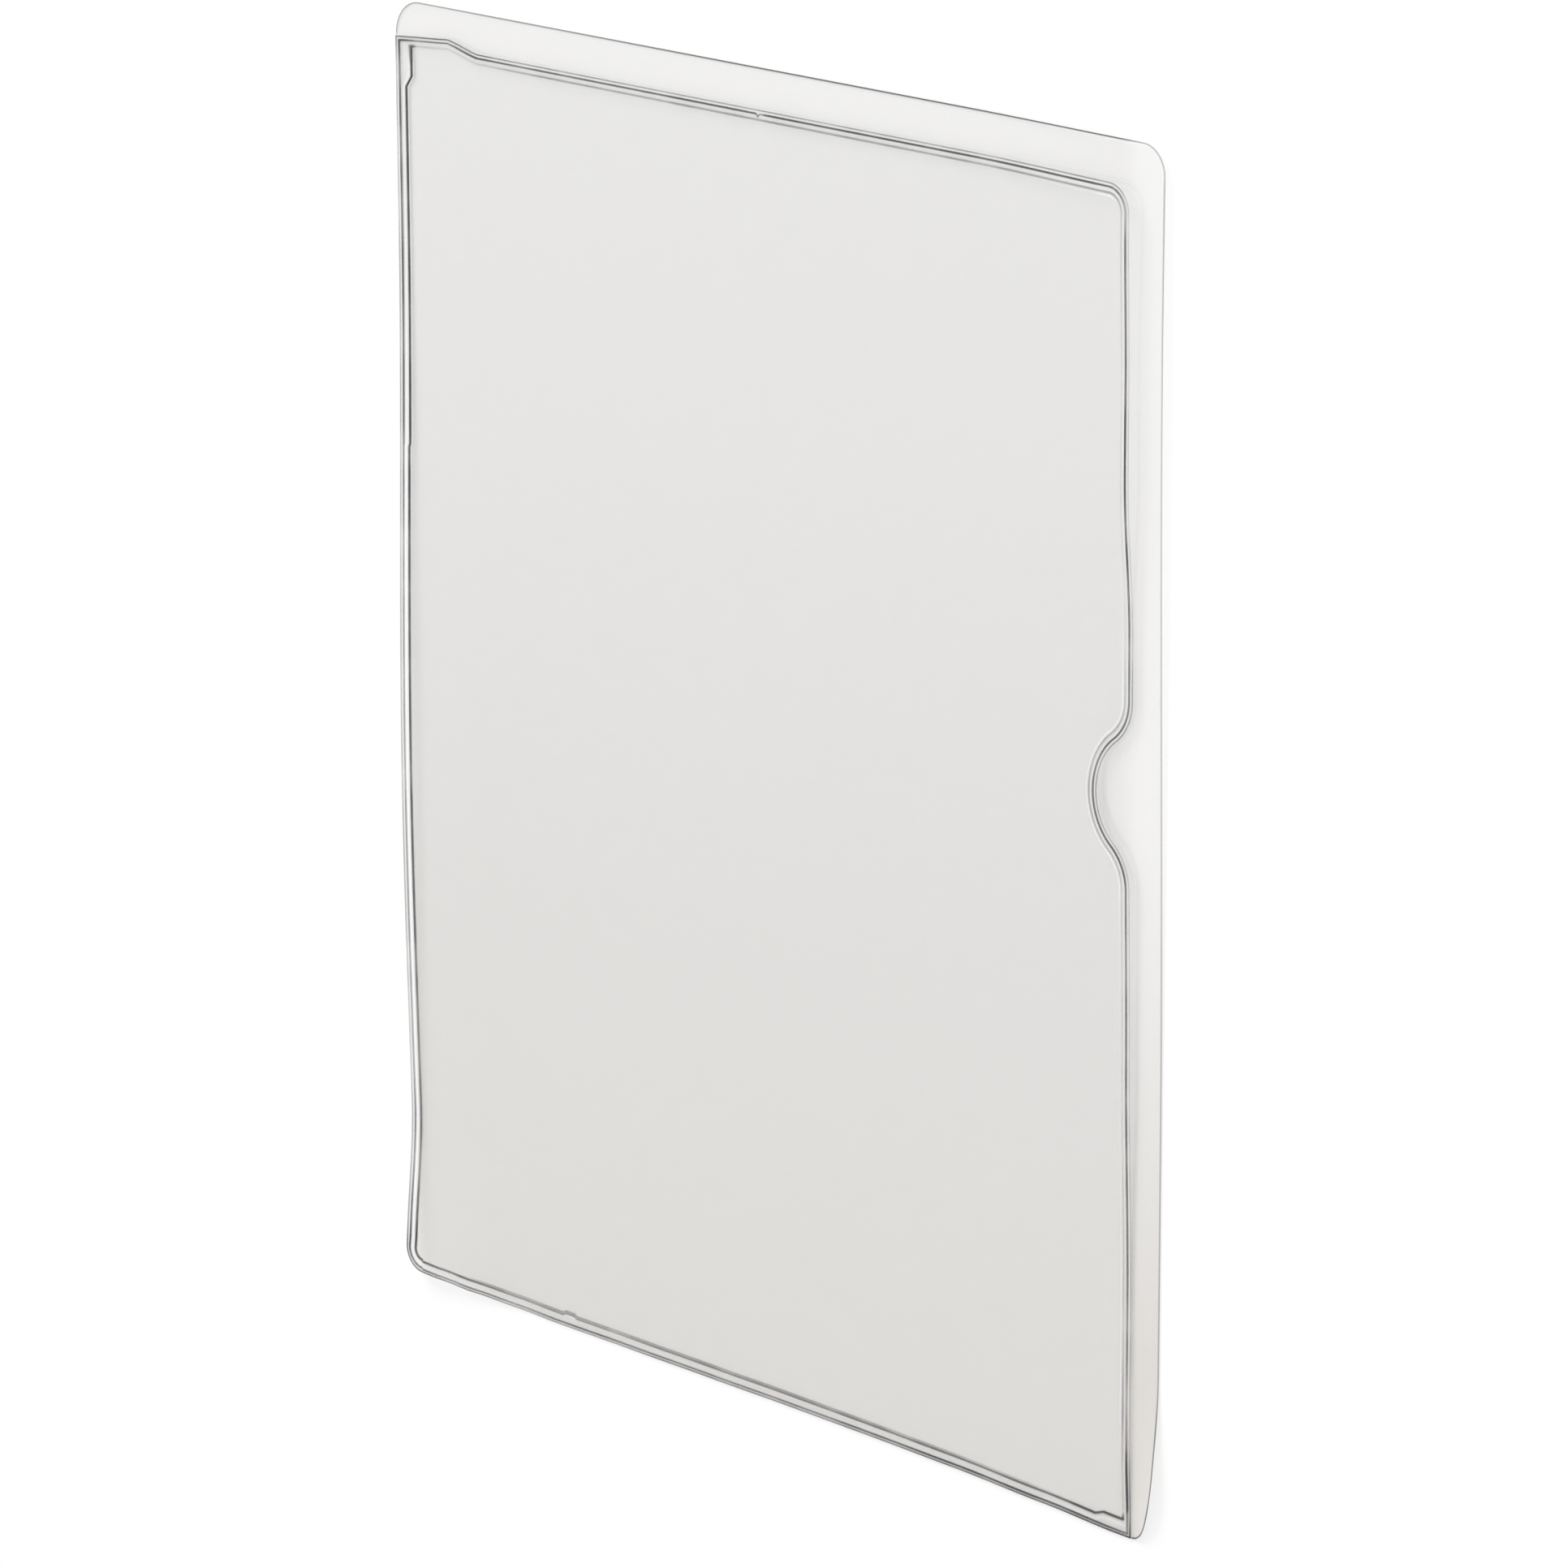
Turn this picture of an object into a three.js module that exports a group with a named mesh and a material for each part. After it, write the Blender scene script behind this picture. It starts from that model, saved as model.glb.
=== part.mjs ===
// Clear vinyl file jacket: a back sheet and a smaller front sheet, welded to each other
// along the left side and the bottom, and open along the top and the right side.
// The jacket lies on its back. Millimetres, origin under the middle of the back sheet,
// +X towards the open side with the thumb notch, +Y towards the open top, +Z up.
import * as THREE from 'three';

// Back sheet
const jacketWidth = 241.3;
const jacketHeight = 298.45;
const sheetThickness = 0.2;
const openCornerRadius = 6.35;
const topLeftRadius = 8;
const flangeCornerHeight = 16;
const sealedCornerRadius = 5.6;

// Front sheet: how far it stops short of the back sheet, and its taller end beside the seal
const topFlange = 8.75;
const sideFlange = 7.7;
const frontCornerRadius = 6;
const tabRise = 1.85;
const tabLength = 17;
const tabStepLength = 10;
const tabCornerDrop = 1.15;

// Thumb notch in the open side of the front sheet
const notchDepth = 10;
const notchRadius = 13.4;
const notchFilletRadius = 12;
const notchFromBottom = 162;

// Beads and pressed tracks that the welding tool leaves along the edges
const sealWidth = 3.4;
const sealOuterBead = 1.1;
const sealHeadLength = 8.5;
const sealHeadExtra = 2.1;
const sealFootLength = 8;
const sealFootExtra = 1;
const sealStepLength = 2.5;
const hemWidth = 2.2;
const hemOuterBead = 0.95;
const beadHalfWidth = 0.42;
const mainBeadRise = 0.22;
const minorBeadRise = 0.14;
const hemInnerBeadRise = 0.05;
const pressDepth = 0.05;

// Space between the sheets
const weldClearance = 0.02;
const openEdgeGap = 0.9;
const pocketRiseLength = 14;
const pocketBulge = 0.8;

// The open side waves: the space there at each distance from the top
const openSideReach = 45;
const openSideGaps = [
  { fromTop: 15, gap: 2.2 },
  { fromTop: 48, gap: 1.6 },
  { fromTop: 70, gap: 1.7 },
  { fromTop: 102, gap: 0.3 },
  { fromTop: 118, gap: 0.4 },
  { fromTop: 150, gap: 1.5 },
  { fromTop: 195, gap: 1.3 },
  { fromTop: 245, gap: 0.4 },
];

// Gentle set of the vinyl: both long sides rise a little and two corners curl
const sealedSideLift = 1.95;
const sealedSideLiftFromTop = 178;
const sealedSideLiftHalfLength = 130;
const sealedSideLiftReach = 45;
const openSideLift = 1.6;
const openSideLiftFromTop = 45;
const openSideLiftHalfLength = 165;
const openSideLiftReach = 60;
const sealedCornerLift = 3;
const sealedCornerLiftReach = 42;
const flangeCurlLift = 3;
const flangeCurlLength = 38;
const flangeCurlStart = 0.4;

// Facets
const longEdgeStep = 14;
const curledEdgeStep = 8;
const cornerClear = 12;
const cornerFacets = 5;
const flangeCornerFacets = 8;
const notchFacets = 10;
const notchFilletFacets = 4;
const tabStepFacets = 6;
const frontInnerScales = [0.97, 0.93, 0.87, 0.75, 0.55, 0.3];
const backInnerScales = [0.985, 0.965, 0.93, 0.87, 0.75, 0.55, 0.3];

// Edges of the two sheets
const left = -jacketWidth / 2;
const right = jacketWidth / 2;
const bottom = -jacketHeight / 2;
const top = jacketHeight / 2;
const frontRight = right - sideFlange;
const frontTop = top - topFlange;
const tabTop = frontTop + tabRise;
const tabCornerTop = tabTop - tabCornerDrop;

// A value that runs smoothly from 0 to 1 while t does
function ease(t) {
  const clamped = Math.min(Math.max(t, 0), 1);
  return clamped * clamped * (3 - 2 * clamped);
}

// The space at the open side, at a distance from the top
function openSideGap(fromTop) {
  const after = openSideGaps.findIndex((key) => key.fromTop > fromTop);
  if (after === 0) {
    return openSideGaps[0].gap;
  }
  if (after < 0) {
    return openSideGaps[openSideGaps.length - 1].gap;
  }
  const here = openSideGaps[after - 1];
  const next = openSideGaps[after];
  const share = (fromTop - here.fromTop) / (next.fromTop - here.fromTop);
  return here.gap + (next.gap - here.gap) * ease(share);
}

// Height of the back sheet's underside over the surface that the jacket lies on
function backLift(x, y) {
  const alongSealed = (top - y - sealedSideLiftFromTop) / sealedSideLiftHalfLength;
  const acrossSealed = 1 - (x - left) / sealedSideLiftReach;
  const sealedLift = sealedSideLift * ease(1 - Math.abs(alongSealed)) * ease(acrossSealed);
  const alongOpen = (top - y - openSideLiftFromTop) / openSideLiftHalfLength;
  const acrossOpen = 1 - (right - x) / openSideLiftReach;
  const openLift = openSideLift * ease(1 - Math.abs(alongOpen)) * ease(acrossOpen);
  const cornerDistance = Math.hypot(x - left, y - bottom);
  const cornerLift = sealedCornerLift * ease(1 - cornerDistance / sealedCornerLiftReach);
  const fromCurlStart = Math.max(x - frontRight - flangeCurlStart, 0);
  const acrossFlange = fromCurlStart / (sideFlange - flangeCurlStart);
  const alongFlange = ease(1 - (y - bottom) / flangeCurlLength);
  const curl = flangeCurlLift * acrossFlange ** 1.5 * alongFlange;
  return sealedLift + openLift + cornerLift + curl;
}

// Space between the two sheets, which is nothing over the weld
function pocketGap(x, y) {
  const fromSeal = Math.min(x - left, y - bottom) - sealWidth;
  const opening = ease(fromSeal / pocketRiseLength);
  const acrossBulge = Math.cos((Math.PI * x) / jacketWidth);
  const alongBulge = Math.cos((Math.PI * y) / jacketHeight);
  const bulge = pocketBulge * Math.max(acrossBulge, 0) * Math.max(alongBulge, 0);
  const nearOpenSide = ease(1 - (frontRight - x) / openSideReach);
  const sideRise = (openSideGap(top - y) - openEdgeGap) * nearOpenSide;
  return opening * (openEdgeGap + bulge + sideRise);
}

// Height of the front sheet's underside
function frontLift(x, y) {
  return backLift(x, y) + sheetThickness + weldClearance + pocketGap(x, y);
}

// Section across an edge: how far in each line runs, and how thick the sheet is there
function beadTrack(width, outerBead, outerRise, innerRise) {
  const pressed = sheetThickness - pressDepth;
  return [
    { inset: 0, thickness: sheetThickness },
    { inset: outerBead - beadHalfWidth, thickness: sheetThickness },
    { inset: outerBead, thickness: sheetThickness + outerRise },
    { inset: outerBead + beadHalfWidth, thickness: pressed },
    { inset: width - beadHalfWidth, thickness: pressed },
    { inset: width, thickness: sheetThickness + innerRise },
    { inset: width + beadHalfWidth, thickness: sheetThickness },
  ];
}

function sealTrack(extra) {
  return beadTrack(sealWidth + extra, sealOuterBead, minorBeadRise, mainBeadRise);
}

const hemTrack = beadTrack(hemWidth, hemOuterBead, mainBeadRise, hemInnerBeadRise);
const plainTrack = [
  { inset: 0, thickness: sheetThickness },
  { inset: sealWidth, thickness: sheetThickness },
];

// Points from start up to, but not at, end
function straight(start, end, step) {
  const length = Math.hypot(end.x - start.x, end.y - start.y);
  const count = Math.max(Math.ceil(length / step), 1);
  const points = [];
  for (let i = 0; i < count; i += 1) {
    const share = i / count;
    const x = start.x + (end.x - start.x) * share;
    const y = start.y + (end.y - start.y) * share;
    points.push({ x, y });
  }
  return points;
}

// Points of the flange's lower corner, a quarter of an ellipse as wide as the flange
function flangeCorner(facets) {
  const points = [];
  for (let i = 0; i < facets; i += 1) {
    const angle = (Math.PI * i) / (2 * facets);
    const x = frontRight + sideFlange * Math.sin(angle);
    const y = bottom + flangeCornerHeight * (1 - Math.cos(angle));
    points.push({ x, y });
  }
  return points;
}

// Points of an arc from one angle up to, but not at, the other
function arc(centre, radius, fromAngle, toAngle, facets) {
  const points = [];
  for (let i = 0; i < facets; i += 1) {
    const angle = fromAngle + ((toAngle - fromAngle) * i) / facets;
    const x = centre.x + radius * Math.cos(angle);
    const y = centre.y + radius * Math.sin(angle);
    points.push({ x, y });
  }
  return points;
}

function withTrack(points, track) {
  return points.map((point) => ({ ...point, track }));
}

// The welded run that both sheets share: down the left side and along the bottom
function sealedRun() {
  const headEnd = tabCornerTop - sealHeadLength;
  const headStepEnd = headEnd - sealStepLength;
  const footStart = frontRight - sealFootLength;
  const footStepStart = footStart - sealStepLength;
  const radius = sealedCornerRadius;
  const centre = { x: left + radius, y: bottom + radius };
  const sideEnd = { x: left, y: centre.y };
  const cornerArc = arc(centre, radius, Math.PI, 1.5 * Math.PI, cornerFacets);
  const baseStart = { x: centre.x, y: bottom };
  return [
    ...withTrack([{ x: left, y: headEnd }], sealTrack(sealHeadExtra)),
    ...withTrack(straight({ x: left, y: headStepEnd }, sideEnd, longEdgeStep), sealTrack(0)),
    ...withTrack(cornerArc, sealTrack(0)),
    ...withTrack(straight(baseStart, { x: footStepStart, y: bottom }, longEdgeStep), sealTrack(0)),
    ...withTrack([{ x: footStepStart, y: bottom }], sealTrack(0)),
    ...withTrack([{ x: footStart, y: bottom }], sealTrack(sealFootExtra)),
  ];
}

// The open side of the front sheet with its thumb notch, from the bottom upwards
function notchedSide() {
  const notchY = bottom + notchFromBottom;
  const centreOut = notchRadius - notchDepth;
  const reach = notchRadius + notchFilletRadius;
  const across = notchFilletRadius + centreOut;
  const along = Math.sqrt(reach * reach - across * across);
  const turn = Math.acos(across / reach);
  const filletX = frontRight - notchFilletRadius;
  const lower = { x: filletX, y: notchY - along };
  const upper = { x: filletX, y: notchY + along };
  const notchCentre = { x: frontRight + centreOut, y: notchY };
  const sideStart = { x: frontRight, y: bottom + cornerClear };
  const sideEnd = { x: frontRight, y: frontTop - frontCornerRadius };
  const lowerFillet = arc(lower, notchFilletRadius, 0, turn, notchFilletFacets);
  const notchArc = arc(notchCentre, notchRadius, Math.PI + turn, Math.PI - turn, notchFacets);
  const upperFillet = arc(upper, notchFilletRadius, -turn, 0, notchFilletFacets);
  return [
    ...straight(sideStart, { x: frontRight, y: lower.y }, longEdgeStep),
    ...lowerFillet,
    ...notchArc,
    ...upperFillet,
    ...straight({ x: frontRight, y: upper.y }, sideEnd, longEdgeStep),
  ];
}

// The top edge of the front sheet from the open side to the taller tab at the seal
function steppedTop() {
  const cornerCentre = { x: frontRight - frontCornerRadius, y: frontTop - frontCornerRadius };
  const tabEndX = left + tabLength;
  const stepEnd = { x: tabEndX + tabStepLength, y: frontTop };
  const edgeStart = { x: cornerCentre.x, y: frontTop };
  const step = [];
  for (let i = 0; i <= tabStepFacets; i += 1) {
    const share = i / tabStepFacets;
    const x = stepEnd.x - tabStepLength * share;
    const y = frontTop + tabRise * ease(share);
    step.push({ x, y });
  }
  return [
    ...arc(cornerCentre, frontCornerRadius, 0, Math.PI / 2, cornerFacets),
    ...straight(edgeStart, stepEnd, longEdgeStep),
    ...step,
  ];
}

// Corners of the front sheet where an open edge meets the weld have a track on each side
function frontOutline() {
  const headCorner = { x: left, y: tabCornerTop };
  const footCorner = { x: frontRight, y: bottom };
  return [
    { ...headCorner, track: hemTrack, nextTrack: sealTrack(sealHeadExtra) },
    ...sealedRun(),
    { ...footCorner, track: sealTrack(sealFootExtra), nextTrack: hemTrack },
    ...withTrack(notchedSide(), hemTrack),
    ...withTrack(steppedTop(), hemTrack),
  ];
}

function backOutline() {
  const radius = openCornerRadius;
  const upperCentre = { x: right - radius, y: top - radius };
  const leftCentre = { x: left + topLeftRadius, y: top - topLeftRadius };
  const flangeStart = { x: right, y: bottom + flangeCornerHeight };
  const curlEnd = { x: right, y: bottom + flangeCurlLength };
  const topStart = { x: upperCentre.x, y: top };
  const points = [
    { x: left, y: tabCornerTop },
    ...sealedRun(),
    ...flangeCorner(flangeCornerFacets),
    ...straight(flangeStart, curlEnd, curledEdgeStep),
    ...straight(curlEnd, { x: right, y: upperCentre.y }, longEdgeStep),
    ...arc(upperCentre, radius, 0, Math.PI / 2, cornerFacets),
    ...straight(topStart, { x: leftCentre.x, y: top }, longEdgeStep),
    ...arc(leftCentre, topLeftRadius, Math.PI / 2, Math.PI, cornerFacets),
  ];
  return withTrack(points, plainTrack);
}

// Unit normal, into the sheet, of the edge from a to b
function inwardNormal(a, b) {
  const length = Math.hypot(b.x - a.x, b.y - a.y);
  return { x: -(b.y - a.y) / length, y: (b.x - a.x) / length };
}

// Where the lines at the two given insets from the edges around a point cross
function insetPoint(point, before, after, insetBefore, insetAfter) {
  const cosine = before.x * after.x + before.y * after.y;
  if (insetBefore === insetAfter) {
    const scale = insetBefore / (1 + cosine);
    const x = point.x + (before.x + after.x) * scale;
    const y = point.y + (before.y + after.y) * scale;
    return { x, y };
  }
  const sineSquared = 1 - cosine * cosine;
  const weightBefore = (insetBefore - cosine * insetAfter) / sineSquared;
  const weightAfter = (insetAfter - cosine * insetBefore) / sineSquared;
  const x = point.x + before.x * weightBefore + after.x * weightAfter;
  const y = point.y + before.y * weightBefore + after.y * weightAfter;
  return { x, y };
}

// Rings of points: one for each line of the edge section, then shrinking ones to the middle
function sheetRings(outline, innerScales) {
  const rings = outline[0].track.map((_, line) =>
    outline.map((point, i) => {
      const previous = outline[(i + outline.length - 1) % outline.length];
      const next = outline[(i + 1) % outline.length];
      const before = inwardNormal(previous, point);
      const after = inwardNormal(point, next);
      const lineBefore = point.track[line];
      const lineAfter = (point.nextTrack ?? point.track)[line];
      const place = insetPoint(point, before, after, lineBefore.inset, lineAfter.inset);
      const thickness = (lineBefore.thickness + lineAfter.thickness) / 2;
      return { ...place, thickness };
    }),
  );
  const edgeRing = rings[rings.length - 1];
  const middle = new THREE.Box2().setFromPoints(edgeRing).getCenter(new THREE.Vector2());
  for (const scale of innerScales) {
    const ring = edgeRing.map((point) => ({
      x: middle.x + (point.x - middle.x) * scale,
      y: middle.y + (point.y - middle.y) * scale,
      thickness: point.thickness,
    }));
    rings.push(ring);
  }
  return rings;
}

// A closed sheet: the rings seen from above and from below, joined by the cut edge
function sheetGeometry(outline, innerScales, lift) {
  const rings = sheetRings(outline, innerScales);
  const count = outline.length;
  const under = rings.length * count;
  const upper = [];
  const lower = [];
  for (const point of rings.flat()) {
    const height = lift(point.x, point.y);
    upper.push(point.x, point.y, height + point.thickness);
    lower.push(point.x, point.y, height);
  }
  const faces = [];
  for (let ring = 0; ring + 1 < rings.length; ring += 1) {
    for (let i = 0; i < count; i += 1) {
      const next = (i + 1) % count;
      const a = ring * count + i;
      const b = ring * count + next;
      const c = (ring + 1) * count + next;
      const d = (ring + 1) * count + i;
      faces.push(a, b, c, a, c, d);
      faces.push(under + a, under + c, under + b, under + a, under + d, under + c);
    }
  }
  for (let i = 0; i < count; i += 1) {
    const next = (i + 1) % count;
    faces.push(i, under + i, under + next, i, under + next, next);
  }
  const innermost = rings[rings.length - 1].map((point) => new THREE.Vector2(point.x, point.y));
  const start = (rings.length - 1) * count;
  for (const [a, b, c] of THREE.ShapeUtils.triangulateShape(innermost, [])) {
    faces.push(start + a, start + b, start + c);
    faces.push(under + start + a, under + start + c, under + start + b);
  }
  const geometry = new THREE.BufferGeometry();
  const positions = new Float32Array([...upper, ...lower]);
  geometry.setAttribute('position', new THREE.BufferAttribute(positions, 3));
  geometry.setIndex(faces);
  geometry.computeVertexNormals();
  return geometry;
}

// Clear vinyl, slightly grey where light passes through it
function clearVinyl() {
  return new THREE.MeshStandardMaterial({
    color: 0xdfe1e0,
    roughness: 0.12,
    metalness: 0,
    transparent: true,
    opacity: 0.35,
  });
}

function sheetMesh(name, geometry) {
  const mesh = new THREE.Mesh(geometry, clearVinyl());
  mesh.name = name;
  return mesh;
}

const jacket = new THREE.Group();
jacket.add(sheetMesh('back_sheet', sheetGeometry(backOutline(), backInnerScales, backLift)));
jacket.add(sheetMesh('front_sheet', sheetGeometry(frontOutline(), frontInnerScales, frontLift)));

export default jacket;
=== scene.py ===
import math

import bmesh
import bpy
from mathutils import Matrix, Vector


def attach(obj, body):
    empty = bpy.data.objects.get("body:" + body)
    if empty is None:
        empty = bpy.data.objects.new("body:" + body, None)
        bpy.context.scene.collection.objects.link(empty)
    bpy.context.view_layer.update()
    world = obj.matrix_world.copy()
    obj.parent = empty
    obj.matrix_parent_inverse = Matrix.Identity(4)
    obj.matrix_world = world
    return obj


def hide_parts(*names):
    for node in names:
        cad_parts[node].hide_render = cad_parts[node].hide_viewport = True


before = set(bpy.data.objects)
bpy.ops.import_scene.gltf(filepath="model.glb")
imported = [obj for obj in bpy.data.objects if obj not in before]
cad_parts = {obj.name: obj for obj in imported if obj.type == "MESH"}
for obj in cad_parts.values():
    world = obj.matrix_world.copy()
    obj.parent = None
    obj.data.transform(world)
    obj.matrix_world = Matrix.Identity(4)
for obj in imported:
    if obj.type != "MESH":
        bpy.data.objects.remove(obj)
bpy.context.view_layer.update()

mm = 0.001

# Outline of the jacket, in millimetres. The origin is under the middle of the back sheet.
jacket = {
    "width": 241.3,
    "height": 298.45,
    "thickness": 0.2,
    "openCornerRadius": 6.35,
    "topLeftRadius": 8.0,
    "flangeCornerHeight": 16.0,  # the flange's lower corner is a quarter of an ellipse
    "sealedCornerRadius": 5.6,
    "topFlange": 8.75,  # back sheet showing above the front sheet
    "sideFlange": 7.7,  # back sheet showing beside the front sheet
    "frontCornerRadius": 6.0,
    "tabRise": 2.05,  # the front sheet is taller beside the seal
    "tabLength": 19.0,
    "tabStepLength": 10.0,
    "tabCornerDrop": 1.65,
    "notchDepth": 10.0,
    "notchRadius": 13.4,
    "notchFilletRadius": 12.0,
    "notchFromBottom": 162.0,
}

left = -jacket["width"] / 2
right = jacket["width"] / 2
bottom = -jacket["height"] / 2
top = jacket["height"] / 2
frontRight = right - jacket["sideFlange"]
frontTop = top - jacket["topFlange"]
tabTop = frontTop + jacket["tabRise"]
tabCornerTop = tabTop - jacket["tabCornerDrop"]

# How the film lies: the gentle set that the solids have too, and the bow of its bottom edge
filmSet = {
    "weldWidth": 3.4,
    "weldClearance": 0.02,
    "openEdgeGap": 0.9,
    "pocketRiseLength": 14.0,
    "pocketBulge": 0.8,
    "openSideReach": 45.0,
    "openSideGaps": [  # distance from the top, and the space between the sheets there
        (15, 2.2),
        (48, 1.6),
        (70, 1.7),
        (102, 0.3),
        (118, 0.4),
        (150, 1.5),
        (195, 1.3),
        (245, 0.4),
    ],
    "sealedSideLift": 1.95,
    "sealedSideLiftFromTop": 178.0,
    "sealedSideLiftHalfLength": 130.0,
    "sealedSideLiftReach": 45.0,
    "openSideLift": 1.6,
    "openSideLiftFromTop": 45.0,
    "openSideLiftHalfLength": 165.0,
    "openSideLiftReach": 60.0,
    "sealedCornerLift": 3.0,
    "sealedCornerLiftReach": 42.0,
    "flangeCurlLift": 3.0,
    "flangeCurlLength": 38.0,
    "flangeCurlStart": 0.4,
    "baseBowHeight": 60.0,  # the bow of the bottom edge dies out at this height
    "baseBow": [  # distance from the left, and how far the bottom edge bows upwards there
        (4, 1.8),
        (12, 1.4),
        (22, 0.75),
        (36, 0.25),
        (49, 0.05),
        (75, 0.3),
        (102, 0.5),
        (128, 0.7),
        (154, 0.75),
        (180, 0.65),
        (207, 0.1),
        (231, -0.6),
    ],
}


def ease(t):
    clamped = min(max(t, 0.0), 1.0)
    return clamped * clamped * (3 - 2 * clamped)


def between(keys, at):
    if at <= keys[0][0]:
        return keys[0][1]
    for here, after in zip(keys, keys[1:]):
        if at < after[0]:
            return here[1] + (after[1] - here[1]) * ease((at - here[0]) / (after[0] - here[0]))
    return keys[-1][1]


def backLift(x, y):
    s = filmSet
    alongSealed = (top - y - s["sealedSideLiftFromTop"]) / s["sealedSideLiftHalfLength"]
    acrossSealed = 1 - (x - left) / s["sealedSideLiftReach"]
    sealedLift = s["sealedSideLift"] * ease(1 - abs(alongSealed)) * ease(acrossSealed)
    alongOpen = (top - y - s["openSideLiftFromTop"]) / s["openSideLiftHalfLength"]
    acrossOpen = 1 - (right - x) / s["openSideLiftReach"]
    openLift = s["openSideLift"] * ease(1 - abs(alongOpen)) * ease(acrossOpen)
    cornerDistance = math.hypot(x - left, y - bottom)
    cornerLift = s["sealedCornerLift"] * ease(1 - cornerDistance / s["sealedCornerLiftReach"])
    fromCurlStart = max(x - frontRight - s["flangeCurlStart"], 0.0)
    acrossFlange = fromCurlStart / (jacket["sideFlange"] - s["flangeCurlStart"])
    alongFlange = ease(1 - (y - bottom) / s["flangeCurlLength"])
    return sealedLift + openLift + cornerLift + s["flangeCurlLift"] * acrossFlange**1.5 * alongFlange


def bowed(x, y):
    fade = ease(1 - (y - bottom) / filmSet["baseBowHeight"])
    return y + between(filmSet["baseBow"], x - left) * fade


def pocketGap(x, y):
    s = filmSet
    opening = ease((min(x - left, y - bottom) - s["weldWidth"]) / s["pocketRiseLength"])
    across = max(math.cos(math.pi * x / jacket["width"]), 0.0)
    along = max(math.cos(math.pi * y / jacket["height"]), 0.0)
    nearOpenSide = ease(1 - (frontRight - x) / s["openSideReach"])
    sideRise = (between(s["openSideGaps"], top - y) - s["openEdgeGap"]) * nearOpenSide
    return opening * (s["openEdgeGap"] + s["pocketBulge"] * across * along + sideRise)


def frontLift(x, y):
    return backLift(x, y) + jacket["thickness"] + filmSet["weldClearance"] + pocketGap(x, y)


# Lines that the welding tool leaves: how far in from the edge the outer and the inner one run
toolLines = {
    "head": (1.25, 5.5),
    "side": (1.25, 3.4),
    "corner": (1.1, 3.1),
    "base": (0.8, 2.7),
    "foot": (0.8, 3.7),
    "hem": (0.95, 2.2),
    "plain": (0.9, 2.0),
    "headLength": 8.5,
    "footLength": 8.0,
    "stepLength": 2.5,
    "jogFromTop": 101.0,  # the inner line of the sealed side jumps outwards here
    "jogWidth": 0.3,
    "nickFromLeft": 120.4,  # the outer line of the top edge dips in here
    "nickDepth": 0.55,
    "kinkFromLeft": 54.0,  # the inner line of the bottom jumps in for a short way
    "kinkHalfLength": 2.2,
    "kinkDepth": 0.5,
}
# How closely the outline's points stand, and how far they keep from the two square corners of the
# front sheet, where wide lines meet narrow ones
outlineDetail = {
    "edgeStep": 2.5,
    "arcStep": 0.45,
    "notchStep": 0.7,
    "tabSteps": 14,
    "tabStraightness": 0.65,  # share of the tab's step that is straight, the rest is eased
    "flangeCornerSteps": 30,
    "clearOfHead": 5.0,
    "clearOfTab": 7.0,
    "clearOfFoot": 4.5,
    "clearOfHem": 5.2,
    "firstAboveHem": 6.0,
    "jogHalfLength": 0.4,
    "nickPoints": (0.9, 0.45, 0.0, -0.5, -0.9),  # along the top edge, from the nick's tip
    "pointSpacing": 1.0,  # no closer than this to a point that is given
}


def straightRun(start, end):
    length = math.dist(start, end)
    if length < 0.01:
        return []
    count = max(math.ceil(length / outlineDetail["edgeStep"]), 1)
    shares = [i / count for i in range(count)]
    return [(start[0] + (end[0] - start[0]) * s, start[1] + (end[1] - start[1]) * s) for s in shares]


def arcRun(centre, radius, fromAngle, toAngle, step):
    count = max(math.ceil(radius * abs(toAngle - fromAngle) / step), 4)
    angles = [fromAngle + (toAngle - fromAngle) * i / count for i in range(count)]
    return [(centre[0] + radius * math.cos(a), centre[1] + radius * math.sin(a)) for a in angles]


def marked(points, edge):
    return [{"at": point, "edge": edge, "lines": toolLines[edge]} for point in points]


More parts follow.
